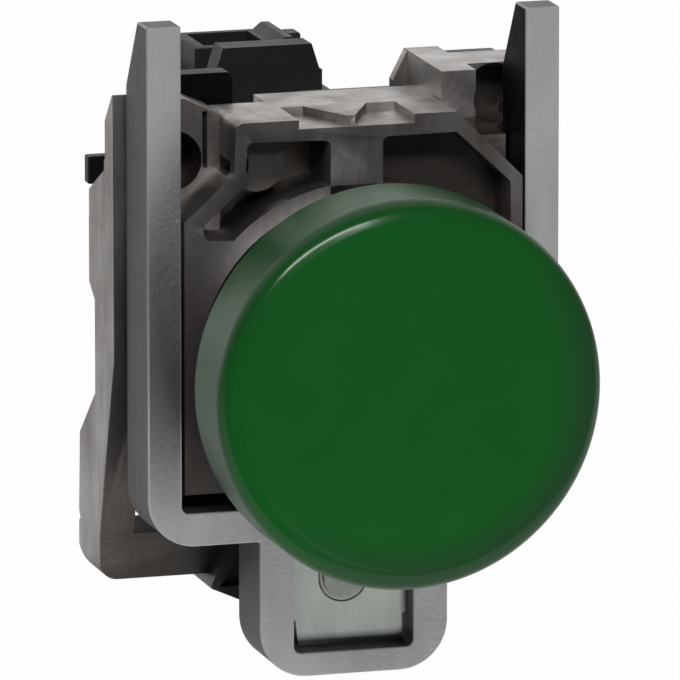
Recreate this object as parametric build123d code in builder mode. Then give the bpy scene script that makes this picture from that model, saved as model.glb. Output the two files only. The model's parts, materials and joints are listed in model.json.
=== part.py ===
from build123d import *
from math import sin, cos, radians
import os

os.makedirs("parts", exist_ok=True)

# Panel pilot light. All sizes are in mm.
# The origin lies on the head axis, at the rear face of the gasket, which seats on the panel.
# +X is to the right seen from the front, +Y goes back through the panel, +Z is up.

# Lens and diffuser
head_overhang = 2.8
lens_front = -8.2
lens_wall = 1.2
lens_face_t = 1.6
lens_rear = -1.35
shoulder_inset = 1.6
rim_inset = 0.55
rim_drop = 0.35
rim_depth = 1.05
diffuser_t = 1.2
diffuser_gap = 0.2

# Bezel, seal and gasket
flange_inset = 0.25
flange_t = 0.65
gasket_t = 0.7
gasket_inset = 0.25
neck_r = 11.0
neck_wall = 2.2
neck_inset = 0.4
neck_gap = 0.15
cup_wall = 1.15
seal_side = 0.9
seal_gap = 0.1
key_w = 3.0
key_height = 1.0
key_rear = 4.0
key_gap = 0.15

# Clamp fork
fork_front = 6.5
fork_t = 5.5
fork_clear = 1.52
prong_w = 2.48
fork_top = 24.1
fork_bar_wall = 1.65
fork_bar_h = 2.4
fork_outer_r = 3.5
fork_inner_r = 0.5
tip_depth = 2.5
tip_slant = 5.0
tab_half_w = 6.88
tab_wall = 2.52
tab_h = 9.9
tab_foot = 1.7
window_drop = 0.4
neck_relief = 0.35

# Thrust plate and clamp screw
screw_x = -0.3
screw_drop = 3.25
plate_recess = 1.7
plate_t = 1.2
plate_gap = 0.1
tongue_drop = 1.65
tongue_h = 2.6
tongue_out = 0.7
journal_r = 1.75
tip_r = 1.5
tip_out = 0.3
thread_r = 2.5
running_gap = 0.05
shoulder_gap = 0.3
screw_head_r = 3.0
screw_head_t = 3.0
clamp_travel = 4.8
head_play = 0.4
recess_w = 0.9
recess_span = 4.4

# Collar
collar_gap = 0.2
collar_top = 17.0
collar_drop = 1.35
block_depth = 6.4
boss_wall = 1.18
tube_wall = 1.0
collar_depth = 13.4
seat_depth = 8.8
index_depth = 0.64
index_half_w = 4.2
index_length = 4.85
pocket_depth = 5.2
pocket_round = 0.45
post_r = 2.0
ear_front = 10.5
ear_step = 12.8
ear_rise = 2.1
ear_hole_r = 2.15
left_rise = 1.2
left_ear_t = 2.15
cheek_step = 0.7
cheek_t = 2.5
cheek_rear = 22.4
bar_front = 16.9
bar_drop = 0.65
bar_h = 3.25
foot_round = 1.3
bracket_front = 15.0
bracket_half_w = 8.0
bracket_drop = 2.5
gusset_depth = 0.8

# Lock ring and lever
ring_t = 1.6
ring_w = 1.22
ring_gap = 0.1
seat_gap = 0.3
groove_depth = 1.05
groove_gap = 0.2
lug_gap = 0.35
lug_half_angle = 9.0
slot_half_angle = 12.0
slot_turn = 25.0
cap_overhang = 0.08
cap_w = 6.1
cap_rise = 6.65
cap_h = 2.35
cap_wall = 0.1

# Carrier and light block
carrier_t = 2.1
carrier_gap = 0.2
carrier_h = 24.0
ear_inset = 0.4
pad_half_w = 4.5
block_half_w = 5.08
block_gap = 2.0
block_length = 22.0
block_top = 14.5
block_clear = 0.85
hook_top = 18.1
hood_top = 16.7
hood_bump = 0.5
wall = 1.0
fit_gap = 0.1
spigot_r = 5.0
light_tube_r = 3.6
light_tube_front = -3.6
entry_w = 4.6
well_gap = 0.4
board_x = -1.6
board_t = 1.0
board_foot = 1.4
board_head = 1.5
board_clear = 2.8
led_r = 2.5

# Parts on the board
led_base_t = 1.2
led_dome_t = 1.3
rectifier_side = 4.6
rectifier_t = 2.2
rectifier_inset = 1.4
capacitor_r = 2.4
capacitor_l = 4.6
capacitor_foot = 1.0
resistor_r = 1.1
resistor_l = 6.0
resistor_inset = 2.4
part_gap = 0.9

# Terminals
terminal_x = 0.0
terminal_edge = 5.1
terminal_inset = 9.6
terminal_t = 1.0
terminal_half = 3.4
saddle_t = 1.2
saddle_gap = 0.2
saddle_inset = 0.3
terminal_screw_r = 1.75
terminal_head_r = 3.0
terminal_head_t = 2.2
thread_wall = 0.9
nut_t = 1.4


def across(y):
    return Plane.XZ.offset(-y)


def at_x(x):
    return Plane.YZ.offset(x)


# Lens: hollow cap with a rounded rim
lens_r = neck_r + head_overhang
lens_bore_r = lens_r - lens_wall
lens_inside = lens_front + lens_face_t
with BuildPart() as lens:
    with BuildSketch(Plane.XY):
        with BuildLine():
            Polyline(
                (0, lens_front),
                (lens_r - shoulder_inset, lens_front),
                (lens_r - rim_inset, lens_front + rim_drop),
                (lens_r, lens_front + rim_depth),
                (lens_r, lens_rear),
                (lens_bore_r, lens_rear),
                (lens_bore_r, lens_inside),
                (0, lens_inside),
                close=True,
            )
        make_face()
    revolve(axis=Axis.Y)
lens.part.label = "lens"
export_step(lens.part, "parts/lens.step")

# Diffuser: disc on the cup rim
diffuser_front = lens_inside + diffuser_gap
cup_front = diffuser_front + diffuser_t
with BuildPart() as diffuser:
    with BuildSketch(across(diffuser_front)):
        Circle(lens_bore_r - neck_gap)
    extrude(amount=-diffuser_t)
diffuser.part.label = "diffuser"
export_step(diffuser.part, "parts/diffuser.step")

# Lens seal: square section ring between cup and lens, in front of the flange
flange_front = -gasket_t - flange_t
cup_r = lens_bore_r - seal_side
with BuildPart() as lens_seal:
    with BuildSketch(across(flange_front - seal_gap - seal_side)):
        Circle(lens_bore_r)
        Circle(cup_r, mode=Mode.SUBTRACT)
    extrude(amount=-seal_side)
lens_seal.part.label = "lens_seal"
export_step(lens_seal.part, "parts/lens_seal.step")

# Bezel body: cup with a conical reflector, flange, neck, bayonet groove and key
flange_r = lens_r - flange_inset
cup_bore_r = cup_r - cup_wall
neck_bore_r = neck_r - neck_wall
collar_front = fork_front
seat_front = collar_front + seat_depth
ring_front = seat_front + ring_gap
ring_rear = ring_front + ring_t
collar_rear = collar_front + collar_depth
neck_rear = collar_rear - neck_inset
groove_r = neck_r - groove_depth
groove_front = ring_front - groove_gap
groove_rear = ring_rear + groove_gap
with BuildPart() as bezel_body:
    with BuildSketch(Plane.XY):
        with BuildLine():
            Polyline(
                (neck_bore_r, -gasket_t),
                (cup_bore_r, cup_front),
                (cup_r, cup_front),
                (cup_r, flange_front),
                (flange_r, flange_front),
                (flange_r, -gasket_t),
                (neck_r, -gasket_t),
                (neck_r, groove_front),
                (groove_r, groove_front),
                (groove_r, groove_rear),
                (neck_r, groove_rear),
                (neck_r, neck_rear),
                (neck_bore_r, neck_rear),
                close=True,
            )
        make_face()
    revolve(axis=Axis.Y)
    with BuildSketch(across(-gasket_t)):
        with Locations((0, neck_r)):
            Rectangle(key_w, 2 * key_height)
    extrude(amount=-(key_rear + gasket_t))
    for turn in range(3):
        start = 90 + slot_turn - slot_half_angle + 120 * turn
        end = start + 2 * slot_half_angle
        reach = neck_r + key_height
        with BuildSketch(across(groove_rear - groove_gap / 2)):
            with BuildLine():
                arc = CenterArc((0, 0), groove_r, start, 2 * slot_half_angle)
                Polyline(
                    arc @ 0,
                    (reach * cos(radians(start)), reach * sin(radians(start))),
                    (reach * cos(radians(end)), reach * sin(radians(end))),
                    arc @ 1,
                )
            make_face()
        extrude(amount=-(neck_rear - groove_rear + groove_gap), mode=Mode.SUBTRACT)
bezel_body.part.label = "bezel_body"
export_step(bezel_body.part, "parts/bezel_body.step")

# Panel gasket: flat ring with a notch for the key
bore_r = neck_r + neck_gap
with BuildPart() as panel_gasket:
    with BuildSketch(across(-gasket_t)):
        Circle(flange_r - gasket_inset)
        Circle(bore_r, mode=Mode.SUBTRACT)
        with Locations((0, neck_r)):
            Rectangle(key_w + 2 * key_gap, 2 * (key_height + key_gap), mode=Mode.SUBTRACT)
    extrude(amount=-gasket_t)
panel_gasket.part.label = "panel_gasket"
export_step(panel_gasket.part, "parts/panel_gasket.step")

# Collar body: one casting
fork_inner_half_w = neck_r + fork_clear
fork_half_w = fork_inner_half_w + prong_w
fork_bar_bottom = -neck_r - neck_relief - fork_bar_wall
fork_window_bottom = fork_bar_bottom + fork_bar_h
screw_z = fork_bar_bottom - screw_drop
collar_half_w = fork_inner_half_w - collar_gap
collar_low = fork_window_bottom + collar_drop
ear_top = collar_top + ear_rise
left_top = collar_top + left_rise
ear_left = collar_half_w - 4.72
ear_mid = collar_half_w - 2.22
block_rear = collar_front + block_depth
ear_rear = block_rear + left_ear_t
foot_slope = cheek_rear - 2.0
boss_r = bore_r + boss_wall
ring_outer_r = neck_r + 0.08 + ring_w
counterbore_r = ring_outer_r + seat_gap
tube_r = counterbore_r + tube_wall
cheek_outer = fork_half_w + cheek_step
bar_top = -tube_r - bar_drop
bar_bottom = bar_top - bar_h
bracket_bottom = bar_bottom - bracket_drop
lever_window = [(0, 0), (-7.4, 20.5), (-20, 20.5), (-20, 10.6)]
with BuildPart() as collar_body:
    # Front block
    with BuildSketch(across(collar_front)) as block_outline:
        Polygon(
            (-collar_half_w, collar_low),
            (collar_half_w, collar_low),
            (collar_half_w, collar_top - 4.85),
            (ear_left - 0.1, collar_top),
            (-collar_half_w + 3.77, collar_top),
            (-collar_half_w + 3.62, collar_top - 3.65),
            (-collar_half_w, collar_top - 6.85),
            align=None,
        )
        top_left = [v for v in block_outline.vertices() if v.Y > collar_top - 0.1 and v.X < 0]
        fillet(top_left, 0.6)
    extrude(amount=-block_depth)
    # Shelf behind the block top
    with BuildSketch(across(block_rear)):
        Polygon((-4.4, 10), (ear_left, 10), (ear_left, collar_top), (-4.4, collar_top), align=None)
    extrude(amount=-3.7)
    with BuildSketch(across(block_rear)):
        Polygon(
            (-collar_half_w + 3.77, 10),
            (-4.4, 10),
            (-4.4, collar_top),
            (-collar_half_w + 3.77, collar_top),
            align=None,
        )
    extrude(amount=-0.8)
    # Index recess in the flat top, with a raised pointer
    index_floor = collar_top - index_depth
    index_rear = collar_front + index_length
    with BuildSketch(Plane.XY.offset(index_floor)):
        with Locations((0.2, (collar_front + index_rear) / 2)):
            Rectangle(2 * index_half_w, index_length)
    extrude(amount=index_depth + 1, mode=Mode.SUBTRACT)
    with BuildSketch(Plane.XY.offset(index_floor)):
        Polygon(
            (-2.3, index_rear),
            (-0.34, collar_front + 0.85),
            (0.34, collar_front + 0.85),
            (2.3, index_rear),
            align=None,
        )
    extrude(amount=index_depth)
    # Left pocket with a round post
    with BuildSketch(across(collar_front)) as left_pocket:
        Polygon(
            (-collar_half_w + 4.57, collar_top - 1.4),
            (-1.7, collar_top - 1.55),
            (-1.7, neck_r),
            (-8.2, 8.0),
            (-8.75, 8.7),
            (-collar_half_w + 1.52, 8.8),
            (-collar_half_w + 1.32, 9.8),
            (-collar_half_w + 4.42, collar_top - 4.4),
            align=None,
        )
        fillet(left_pocket.vertices(), pocket_round)
        Circle(boss_r, mode=Mode.SUBTRACT)
    extrude(amount=-pocket_depth, mode=Mode.SUBTRACT)
    with BuildSketch(across(collar_front + 2.0)):
        with Locations((-6.5, collar_top - 3.3)):
            Circle(post_r)
        Circle(boss_r - 0.5, mode=Mode.SUBTRACT)
    extrude(amount=-(pocket_depth - 2.0))
    # Right pocket
    with BuildSketch(across(collar_front)) as right_pocket:
        Polygon(
            (2.1, collar_top - 1.5),
            (ear_left - 0.1, collar_top - 1.45),
            (collar_half_w - 0.87, collar_top - 5.2),
            (collar_half_w - 0.87, 3.0),
            (2.1, 3.0),
            align=None,
        )
        fillet(right_pocket.vertices(), pocket_round)
        Circle(boss_r, mode=Mode.SUBTRACT)
    extrude(amount=-pocket_depth, mode=Mode.SUBTRACT)
    # Window in the left side wall
    with BuildSketch(at_x(-collar_half_w + 2.82)):
        with Locations((collar_front + 2.8, collar_top - 3.4)):
            Rectangle(3.4, 1.0)
    extrude(amount=2.4, mode=Mode.SUBTRACT)
    # Right ear
    with BuildSketch(across(ear_front)):
        Polygon((ear_left, neck_r), (ear_mid, neck_r), (ear_mid, ear_top), (ear_left, ear_top), align=None)
    extrude(amount=-9.3)
    with BuildSketch(across(ear_front + 8.4)):
        Polygon(
            (ear_left + 0.1, collar_top - 2.0),
            (ear_left - 1.07, collar_top - 2.0),
            (ear_left - 1.07, collar_top),
            (ear_left - 0.04, ear_top - 0.1),
            (ear_left + 0.1, ear_top - 0.1),
            align=None,
        )
    extrude(amount=-0.9)
    with BuildSketch(across(ear_step)):
        Polygon(
            (ear_mid, neck_r),
            (cheek_outer, neck_r),
            (cheek_outer, ear_top - 0.8),
            (cheek_outer - 0.8, ear_top),
            (ear_mid, ear_top),
            align=None,
        )
    extrude(amount=-4.4)
    with BuildSketch(across(ear_front)):
        Polygon(
            (ear_mid - 0.1, 8.0),
            (collar_half_w, 8.0),
            (collar_half_w, ear_top - 4.7),
            (ear_mid - 0.1, ear_top - 4.7),
            align=None,
        )
    extrude(amount=-(block_rear - ear_front))
    with BuildSketch(across(ear_front)):
        with Locations((collar_half_w - 0.22, ear_top - 2.2)):
            Circle(ear_hole_r)
    extrude(amount=-5.6, mode=Mode.SUBTRACT)
    # Left ear
    with BuildSketch(across(ear_front)):
        Polygon(
            (-collar_half_w, 8.0),
            (-collar_half_w + 3.72, 8.0),
            (-collar_half_w + 3.72, collar_top),
            (-collar_half_w + 2.52, collar_top + 0.5),
            (-collar_half_w + 1.12, left_top),
            (-collar_half_w, left_top),
            align=None,
        )
    extrude(amount=-(block_rear - ear_front))
    with BuildSketch(across(block_rear)):
        Polygon(
            (-cheek_outer, 9.0),
            (-collar_half_w + 3.72, 9.0),
            (-collar_half_w + 3.72, collar_top),
            (-collar_half_w + 2.52, collar_top + 0.5),
            (-collar_half_w + 1.12, left_top),
            (-cheek_outer, left_top),
            align=None,
        )
    extrude(amount=-left_ear_t)
    with BuildSketch(at_x(-cheek_outer - 1)):
        Polygon(
            (block_rear + 0.2, left_top + 0.01),
            (ear_rear + 0.01, left_top - 2.2),
            (ear_rear + 0.01, left_top + 0.01),
            align=None,
        )
        Polygon(
            (block_rear - 0.01, left_top - 2.5),
            (block_rear - 0.01, left_top + 0.01),
            (block_rear + 0.08, left_top + 0.01),
            align=None,
        )
    extrude(amount=cheek_outer - ear_mid + 0.1, mode=Mode.SUBTRACT)
    with BuildSketch(across(ear_front)):
        with Locations((-collar_half_w + 0.26, left_top - 4.4)):
            Circle(ear_hole_r)
    extrude(amount=-(ear_rear - ear_front + 0.01), mode=Mode.SUBTRACT)
    with BuildSketch(across(ear_front)):
        with Locations((-collar_half_w + 2.62, left_top - 3.0)):
            Rectangle(0.35, 4.0)
    extrude(amount=-3.0, mode=Mode.SUBTRACT)
    # Cheeks, alike on both sides
    for side in (-cheek_outer, cheek_outer - cheek_t):
        with BuildSketch(at_x(side)):
            Polygon(
                (block_rear, left_top - 2.4),
                (block_rear, -0.9),
                (bar_front, bar_top),
                (bar_front, bar_bottom),
                (foot_slope, bar_bottom),
                (foot_slope + 0.3, bar_bottom + 1.0),
                (cheek_rear, bar_bottom + 4.0),
                (cheek_rear - 0.3, bar_bottom + 9.7),
                (cheek_rear - 4.5, -4.1),
                (cheek_rear - 4.5, 2.6),
                (cheek_rear - 3.0, 3.7),
                (cheek_rear - 3.0, 10.3),
                (cheek_rear - 4.5, 11.1),
                (ear_rear, 13.3),
                (ear_rear, left_top - 2.4),
                align=None,
            )
        extrude(amount=cheek_t)
    # Central tube joined to the cheeks
    with BuildSketch(across(block_rear)):
        Circle(tube_r)
    extrude(amount=-(collar_rear - block_rear))
    with BuildSketch(across(block_rear)):
        with Locations((0, 4.75)):
            Rectangle(2 * cheek_outer - cheek_t, 11.3)
    extrude(amount=-(cheek_rear - 4.5 - block_rear))
    # Bottom bar and screw bracket
    with BuildSketch(at_x(-cheek_outer)):
        Polygon(
            (bar_front, bar_top),
            (bar_front, bar_bottom),
            (foot_slope, bar_bottom),
            (cheek_rear, bar_bottom + 1.5),
            (cheek_rear, bar_top),
            align=None,
        )
    extrude(amount=2 * cheek_outer)
    with BuildSketch(across(bracket_front)):
        Polygon(
            (-bracket_half_w + 1.4, -neck_r),
            (-bracket_half_w + 1.4, bar_top - 0.7),
            (-bracket_half_w, bracket_bottom + 2.1),
            (-bracket_half_w, bracket_bottom + 1.8),
            (-bracket_half_w + 2.0, bracket_bottom + 0.9),
            (-bracket_half_w + 3.8, bracket_bottom),
            (bracket_half_w - 3.8, bracket_bottom),
            (bracket_half_w - 2.0, bracket_bottom + 0.9),
            (bracket_half_w, bracket_bottom + 1.8),
            (bracket_half_w, bracket_bottom + 2.1),
            (bracket_half_w - 1.4, bar_top - 0.7),
            (bracket_half_w - 1.4, -neck_r),
            align=None,
        )
    extrude(amount=-(cheek_rear - bracket_front))
    for side in (-1, 1):
        with BuildSketch(across(bracket_front)):
            Polygon(
                (side * (bracket_half_w - 0.6), bracket_bottom + 1.9),
                (side * (bracket_half_w - 1.9), bar_top - 1.8),
                (side * (bracket_half_w - 2.8), bar_top - 1.8),
                (side * (bracket_half_w - 2.8), bracket_bottom + 1.9),
                align=None,
            )
        extrude(amount=-gusset_depth, mode=Mode.SUBTRACT)
    foot_edges = collar_body.edges().filter_by(Axis.Y).filter_by(
        lambda e: abs(abs(e.center().X) - cheek_outer) < 0.01 and abs(e.center().Z - bar_bottom) < 0.01
    )
    fillet(foot_edges, foot_round)
    # Bores
    with BuildSketch(across(collar_front - 1)):
        Circle(bore_r)
    extrude(amount=-(seat_depth + 1.5), mode=Mode.SUBTRACT)
    with BuildSketch(across(seat_front)):
        Circle(counterbore_r)
    extrude(amount=-(cheek_rear - seat_front + 1), mode=Mode.SUBTRACT)
    with BuildSketch(across(bracket_front - 1)):
        with Locations((screw_x, screw_z)):
            Circle(thread_r + running_gap)
    extrude(amount=-(cheek_rear - bracket_front + 2), mode=Mode.SUBTRACT)
    # Window for the lever arm
    with BuildSketch(across(seat_front)):
        Polygon(*lever_window, align=None)
        Circle(neck_r, mode=Mode.SUBTRACT)
    extrude(amount=-(collar_rear - seat_front + 1), mode=Mode.SUBTRACT)
    # Key slot beside the neck key
    with BuildSketch(across(collar_front - 1)):
        with Locations((0, bore_r)):
            Rectangle(key_w + 0.4, 2 * key_height + 0.1)
    extrude(amount=-3.0, mode=Mode.SUBTRACT)
collar_body.part.label = "collar_body"
export_step(collar_body.part, "parts/collar_body.step")

# Clamp fork
fork_rear = fork_front + fork_t
tab_bottom = fork_bar_bottom - tab_h
window_half_w = tab_half_w - tab_wall
window_top = fork_bar_bottom - window_drop
window_bottom = tab_bottom + tab_foot
tongue_z = screw_z - tongue_drop
plate_front = fork_front + plate_recess
with BuildPart() as clamp_fork:
    with BuildSketch(across(fork_front)):
        Polygon(
            (-fork_half_w, fork_top),
            (-fork_half_w, fork_bar_bottom),
            (fork_half_w, fork_bar_bottom),
            (fork_half_w, fork_top),
            (fork_inner_half_w, fork_top),
            (fork_inner_half_w, fork_window_bottom),
            (-fork_inner_half_w, fork_window_bottom),
            (-fork_inner_half_w, fork_top),
            align=None,
        )
        Polygon(
            (-tab_half_w, fork_window_bottom - 1.0),
            (-tab_half_w, tab_bottom),
            (tab_half_w, tab_bottom),
            (tab_half_w, fork_window_bottom - 1.0),
            align=None,
        )
        Circle(neck_r + neck_relief, mode=Mode.SUBTRACT)
        Polygon(
            (-window_half_w, window_top),
            (-window_half_w, window_bottom),
            (window_half_w, window_bottom),
            (window_half_w, window_top),
            align=None,
            mode=Mode.SUBTRACT,
        )
    extrude(amount=-fork_t)
    fork_corners = [(fork_half_w, fork_bar_bottom), (tab_half_w, tab_bottom)]
    inner_corners = [(fork_inner_half_w, fork_window_bottom), (window_half_w, window_bottom)]
    for corners, radius in ((fork_corners, fork_outer_r), (inner_corners, fork_inner_r)):
        for x, z in corners:
            edges = clamp_fork.edges().filter_by(Axis.Y).filter_by(
                lambda e: abs(abs(e.center().X) - x) < 0.01 and abs(e.center().Z - z) < 0.01
            )
            fillet(edges, radius)
    # Slanted rear edges of the prongs
    with BuildSketch(at_x(-fork_half_w - 1)):
        Polygon(
            (fork_front + tip_depth, fork_top + 0.01),
            (fork_rear + 0.01, fork_top - tip_slant),
            (fork_rear + 0.01, fork_top + 0.01),
            align=None,
        )
    extrude(amount=2 * fork_half_w + 2, mode=Mode.SUBTRACT)
    # Grooves that hold the thrust plate
    with BuildSketch(across(plate_front)):
        with Locations((0, tongue_z)):
            Rectangle(2 * (window_half_w + tongue_out + plate_gap), tongue_h + 2 * plate_gap)
    extrude(amount=-plate_t, mode=Mode.SUBTRACT)
clamp_fork.part.label = "clamp_fork"
export_step(clamp_fork.part, "parts/clamp_fork.step")

# Thrust plate in the tab window
plate_half_w = window_half_w - plate_gap
with BuildPart() as thrust_plate:
    with BuildSketch(across(plate_front)):
        Polygon(
            (-plate_half_w, window_top - plate_gap),
            (-plate_half_w, window_top - 2.3),
            (-plate_half_w + 0.66, window_bottom + plate_gap),
            (plate_half_w - 0.2, window_bottom + plate_gap),
            (plate_half_w - 0.2, window_top - 4.9),
            (plate_half_w, window_top - 4.9),
            (plate_half_w, window_top - plate_gap),
            align=None,
        )
        with Locations((0, tongue_z)):
            Rectangle(2 * (window_half_w + tongue_out), tongue_h)
        with Locations((screw_x, screw_z)):
            Circle(journal_r + running_gap, mode=Mode.SUBTRACT)
    extrude(amount=-plate_t)
thrust_plate.part.label = "thrust_plate"
export_step(thrust_plate.part, "parts/thrust_plate.step")

# Clamp screw: stepped tip in the plate, threaded shank, head with a cross recess
shank_front = plate_front + plate_t + shoulder_gap
screw_head_y = cheek_rear + clamp_travel + head_play
with BuildPart() as clamp_screw:
    for front, rear, radius in (
        (plate_front - tip_out, plate_front, tip_r),
        (plate_front, shank_front, journal_r),
        (shank_front, screw_head_y, thread_r),
        (screw_head_y, screw_head_y + screw_head_t, screw_head_r),
    ):
        with BuildSketch(across(front)):
            with Locations((screw_x, screw_z)):
                Circle(radius)
        extrude(amount=-(rear - front))
    with BuildSketch(across(screw_head_y + screw_head_t / 2)):
        with Locations((screw_x, screw_z)):
            Rectangle(recess_w, recess_span)
            Rectangle(recess_span, recess_w)
    extrude(amount=-screw_head_t, mode=Mode.SUBTRACT)
clamp_screw.part.label = "clamp_screw"
export_step(clamp_screw.part, "parts/clamp_screw.step")

# Lock ring with three inward lugs and the arm of the lever
cap_top = ring_outer_r + cap_rise
cap_left = -collar_half_w - cap_overhang
cap_right = cap_left + cap_w
ring_inner_r = neck_r + 0.08
lug_r = groove_r + lug_gap
with BuildPart() as lock_ring:
    with BuildSketch(across(ring_front)):
        Circle(ring_outer_r)
        Circle(ring_inner_r, mode=Mode.SUBTRACT)
    extrude(amount=-ring_t)
    for turn in range(3):
        start = 90 - lug_half_angle + 120 * turn
        with BuildSketch(across(ring_front)):
            with BuildLine():
                inner_arc = CenterArc((0, 0), lug_r, start, 2 * lug_half_angle)
                outer_arc = CenterArc((0, 0), ring_inner_r + ring_w / 3, start, 2 * lug_half_angle)
                Line(inner_arc @ 0, outer_arc @ 0)
                Line(inner_arc @ 1, outer_arc @ 1)
            make_face()
        extrude(amount=-ring_t)
    with BuildSketch(across(ring_front)):
        Polygon(
            (-6.6, ring_outer_r - 2.7),
            (-8.0, ring_outer_r - 3.7),
            (cap_left + 1.3, cap_top - 2.05),
            (cap_right - 0.9, cap_top - 2.05),
            align=None,
        )
        Circle(ring_outer_r - ring_w / 3, mode=Mode.SUBTRACT)
    extrude(amount=-ring_t)
lock_ring.part.label = "lock_ring"
export_step(lock_ring.part, "parts/lock_ring.step")

# Lock lever: finger cap pushed over the arm
with BuildPart() as lock_lever:
    with BuildSketch(across(ring_front - cap_wall)):
        Polygon(
            (cap_left, cap_top),
            (cap_left, cap_top - 1.45),
            (cap_left + 2.5, cap_top - 1.55),
            (cap_left + 3.8, cap_top - cap_h),
            (cap_right, cap_top - cap_h),
            (cap_right, cap_top),
            align=None,
        )
    extrude(amount=-(ring_t + 2 * cap_wall))
    top_edges = lock_lever.edges().filter_by(Axis.Y).filter_by(lambda e: abs(e.center().Z - cap_top) < 0.01)
    fillet(top_edges, 0.5)
    add(lock_ring.part, mode=Mode.SUBTRACT)
lock_lever.part.label = "lock_lever"
export_step(lock_lever.part, "parts/lock_lever.step")

# Block carrier: plate behind the collar with two pads in the tube, ears and a frame for the block
carrier_rear = collar_rear + carrier_t
carrier_half_w = cheek_outer - cheek_t - carrier_gap
ear_x = cheek_outer - ear_inset
frame_half_w = block_half_w + fit_gap
with BuildPart() as block_carrier:
    with BuildSketch(across(collar_rear)):
        Circle(tube_r - 0.2)
        with Locations((0, 1.5)):
            Rectangle(2 * carrier_half_w, carrier_h)
        Polygon(
            (carrier_half_w - 2.1, 10),
            (ear_x, 10),
            (ear_x, ear_top - 0.4),
            (ear_x - 0.5, ear_top + 0.1),
            (carrier_half_w - 2.1, ear_top + 0.1),
            align=None,
        )
        with Locations((4.0, collar_top - 3.0)):
            Rectangle(7.2, 4.0)
        Circle(neck_bore_r + 0.2, mode=Mode.SUBTRACT)
        with Locations((0, bar_top - 4.45)):
            Rectangle(2 * bracket_half_w + 1.0, 16.0, mode=Mode.SUBTRACT)
    extrude(amount=-carrier_t)
    with BuildSketch(across(collar_rear + carrier_t / 2)):
        with Locations((-(ear_x + carrier_half_w - 1) / 2, 11.3)):
            Rectangle(ear_x - carrier_half_w + 1, 2.0)
    extrude(amount=-carrier_t / 2)
    with BuildSketch(across(ring_rear + 0.2)):
        Circle(counterbore_r - fit_gap)
        Rectangle(2 * pad_half_w, 2 * counterbore_r, mode=Mode.INTERSECT)
        Circle(bore_r + fit_gap, mode=Mode.SUBTRACT)
        Polygon(*lever_window, align=None, mode=Mode.SUBTRACT)
    extrude(amount=-(collar_rear - ring_rear - 0.2))
    with BuildSketch(across(carrier_rear)):
        Rectangle(2 * frame_half_w + 3.0, carrier_h - 2.0)
        Rectangle(2 * frame_half_w, carrier_h + 6.0, mode=Mode.SUBTRACT)
    extrude(amount=-2 * block_gap)
    with BuildSketch(across(collar_rear)):
        with Locations((screw_x, screw_z)):
            Circle(screw_head_r + 0.6)
    extrude(amount=-6, mode=Mode.SUBTRACT)
block_carrier.part.label = "block_carrier"
export_step(block_carrier.part, "parts/block_carrier.step")

# Light block housing: box open to the right side, closed by the cover
block_front = carrier_rear + block_gap
block_back = block_front + block_length
block_low = screw_z + screw_head_r + block_clear
cover_inner = block_half_w - wall
spigot_front = carrier_rear + 0.2
spigot_bore_r = light_tube_r + fit_gap
terminal_y = block_back - terminal_inset
entry_y = terminal_y + 2.8
terminal_z = (block_top - terminal_edge, block_low + terminal_edge)
with BuildPart() as block_housing:
    with BuildSketch(across(block_front)):
        Polygon(
            (-block_half_w, block_low),
            (cover_inner, block_low),
            (cover_inner, block_top),
            (-block_half_w, block_top),
            align=None,
        )
    extrude(amount=-block_length)
    with BuildSketch(across(block_front + wall)):
        Polygon(
            (-block_half_w + wall, block_low + wall),
            (cover_inner, block_low + wall),
            (cover_inner, block_top - wall),
            (-block_half_w + wall, block_top - wall),
            align=None,
        )
    extrude(amount=-(block_length - 2 * wall), mode=Mode.SUBTRACT)
    # Front hook on the top
    with BuildSketch(across(block_front + 4.3)):
        Polygon(
            (-block_half_w, block_top - 0.5),
            (-block_half_w, block_top + 0.2),
            (-3.9, hook_top - 1.9),
            (-3.3, hook_top),
            (3.3, hook_top),
            (3.9, hook_top - 1.9),
            (cover_inner, hook_top - 1.9),
            (cover_inner, block_top - 0.5),
            align=None,
        )
    extrude(amount=-2.3)
    # Rear hood on the top
    with BuildSketch(across(terminal_y - 0.6)):
        Polygon(
            (-3.3, block_top - 0.5),
            (-3.3, hood_top),
            (2.9, hood_top),
            (3.5, hood_top + hood_bump),
            (cover_inner, hood_top + hood_bump),
            (cover_inner, block_top - 0.5),
            align=None,
        )
    extrude(amount=-6.4)
    # Spigot around the light tube
    with BuildSketch(across(spigot_front)):
        Circle(spigot_r)
    extrude(amount=-(block_front - spigot_front))
    with BuildSketch(across(spigot_front)):
        Circle(spigot_bore_r)
    extrude(amount=-(block_front + wall - spigot_front), mode=Mode.SUBTRACT)
    # Screw wells and wire entries
    for z in terminal_z:
        with BuildSketch(across(block_back - wall - 0.1)):
            with Locations((terminal_x, z)):
                Circle(terminal_head_r + well_gap)
        extrude(amount=-2 * wall, mode=Mode.SUBTRACT)
    for low, high in ((block_low - 1, block_low + wall + 0.1), (block_top - wall - 0.1, hood_top + 1)):
        with BuildSketch(Plane.XY.offset(low)):
            with Locations((terminal_x, entry_y)):
                Rectangle(entry_w, entry_w)
        extrude(amount=high - low, mode=Mode.SUBTRACT)
block_housing.part.label = "block_housing"
export_step(block_housing.part, "parts/block_housing.step")

# Block cover with an ear beside the hood
with BuildPart() as block_cover:
    with BuildSketch(at_x(cover_inner)):
        Polygon(
            (block_front, block_low),
            (block_back, block_low),
            (block_back, block_top),
            (terminal_y + 2.6, block_top),
            (terminal_y + 2.6, hood_top + hood_bump),
            (terminal_y + 0.8, hood_top + hood_bump),
            (terminal_y + 0.2, block_top),
            (block_front, block_top),
            align=None,
        )
    extrude(amount=wall)
block_cover.part.label = "block_cover"
export_step(block_cover.part, "parts/block_cover.step")

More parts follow.
